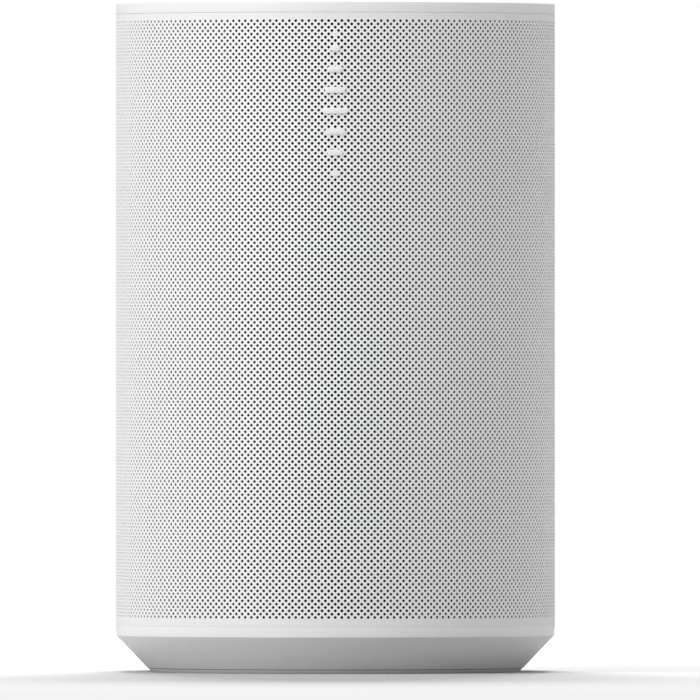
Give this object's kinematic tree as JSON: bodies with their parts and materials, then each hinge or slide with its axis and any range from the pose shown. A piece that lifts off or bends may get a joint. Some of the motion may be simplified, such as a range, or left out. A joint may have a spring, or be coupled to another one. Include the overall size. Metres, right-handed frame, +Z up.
{
  "type": "smart speaker",
  "caption": "Upright smart speaker with a perforated wrap, flat cap, chamfered base, forward woofer, angled tweeters and a rear panel with a button, a slider and sockets.",
  "frame": {"origin": "centre of the box round the whole speaker, on the surface it stands on", "axes": "+Z up, -Y to the front, +X to the right as seen from the front"},
  "size_m": [0.12, 0.1306, 0.1825],
  "materials": {
    "foot_silicone": "matte moulded silicone",
    "shell_white": "fine satin texture",
    "base_white": "satin",
    "cap_white": "smooth satin",
    "badge_white": "satin raised bars",
    "acoustic_cloth": "fine open weave",
    "light_pipe": "clear, polished tip",
    "insert_brass": "machined",
    "screw_steel": "zinc plated",
    "board_green": "solder mask",
    "can_metal": "tinned",
    "frame_grey": "moulded",
    "ribbon_amber": "polyimide film",
    "cabinet_black": "glass-filled, moulded",
    "gasket_black": "closed-cell foam",
    "foam_grey": "open-cell wadding",
    "basket_black": "powder coat",
    "pole_steel": "zinc plated",
    "ferrite": "ground ferrite",
    "surround_rubber": "matte",
    "spider_cloth": "resin-dipped cotton",
    "cone_paper": "fibre-filled",
    "coil_copper": "enamelled copper",
    "dome_silk": "coated silk",
    "motor_nickel": "nickel plated",
    "chip_black": "epoxy",
    "spreader_aluminium": "extruded",
    "transformer_yellow": "taped core",
    "capacitor_blue": "sleeved",
    "panel_white": "satin",
    "socket_black": "moulded",
    "button_white": "satin",
    "wire_red": "PVC sleeve"
  },
  "bodies": {
    "speaker": {"foot_pad": "foot_silicone", "base_housing": "base_white", "threaded_insert": "insert_brass", "base_screws": "screw_steel", "grille": "shell_white", "grille_liner": "acoustic_cloth", "badge": "badge_white", "status_light_pipe": "light_pipe", "top_cover": "cap_white", "touch_board": "board_green", "microphones": "can_metal", "top_frame": "frame_grey", "touch_ribbon": "ribbon_amber", "antennas": "board_green", "cabinet_front": "cabinet_black", "cabinet_rear": "cabinet_black", "cabinet_gasket": "gasket_black", "cabinet_screws": "screw_steel", "damping_foam": "foam_grey", "woofer_basket": "basket_black", "woofer_gasket": "gasket_black", "woofer_top_plate": "pole_steel", "woofer_magnet": "ferrite", "woofer_back_plate": "pole_steel", "woofer_surround": "surround_rubber", "woofer_spider": "spider_cloth", "woofer_screws": "screw_steel", "tweeter_bracket": "cabinet_black", "left_tweeter_plate": "basket_black", "right_tweeter_plate": "basket_black", "left_tweeter_motor": "motor_nickel", "right_tweeter_motor": "motor_nickel", "small_screws": "screw_steel", "rear_chassis": "frame_grey", "chassis_screws": "screw_steel", "power_board": "board_green", "power_transformer": "transformer_yellow", "filter_capacitors": "capacitor_blue", "amp_board": "board_green", "amp_chips": "chip_black", "heat_spreader": "spreader_aluminium", "main_board": "board_green", "processor_shield": "can_metal", "io_panel": "panel_white", "power_inlet": "socket_black", "usb_c_socket": "can_metal", "button_dome": "can_metal", "tact_switch": "socket_black", "mic_switch_body": "socket_black", "io_board": "board_green", "internal_wiring": "wire_red"},
    "woofer_diaphragm": {"woofer_cone": "cone_paper", "dust_cap": "cone_paper", "voice_coil": "coil_copper"},
    "left_tweeter_diaphragm": {"left_tweeter_dome": "dome_silk", "left_tweeter_coil": "coil_copper"},
    "right_tweeter_diaphragm": {"right_tweeter_dome": "dome_silk", "right_tweeter_coil": "coil_copper"},
    "pairing_button": {"pair_button": "button_white"},
    "microphone_slider": {"mic_switch_knob": "button_white"}
  },
  "joints": [
    {"name": "woofer_stroke", "type": "slide", "parent": "speaker", "child": "woofer_diaphragm", "axis": [0, -1, 0], "range_m": [-0.0045, 0.0045], "stiffness_N_per_m": 1500, "deforming": ["woofer_surround", "woofer_spider"]},
    {"name": "left_tweeter_stroke", "type": "slide", "parent": "speaker", "child": "left_tweeter_diaphragm", "axis": [-0.7071, -0.7071, 0], "range_m": [-0.0003, 0.0003], "stiffness_N_per_m": 1000},
    {"name": "right_tweeter_stroke", "type": "slide", "parent": "speaker", "child": "right_tweeter_diaphragm", "axis": [0.7071, -0.7071, 0], "range_m": [-0.0003, 0.0003], "stiffness_N_per_m": 1000},
    {"name": "pairing_press", "type": "slide", "parent": "speaker", "child": "pairing_button", "axis": [0, -1, 0], "range_m": [0, 0.0008], "stiffness_N_per_m": 1500, "springref_m": -0.0002, "deforming": ["button_dome"]},
    {"name": "microphone_slide", "type": "slide", "parent": "speaker", "child": "microphone_slider", "axis": [1, 0, 0], "range_m": [0, 0.0025]}
  ]
}
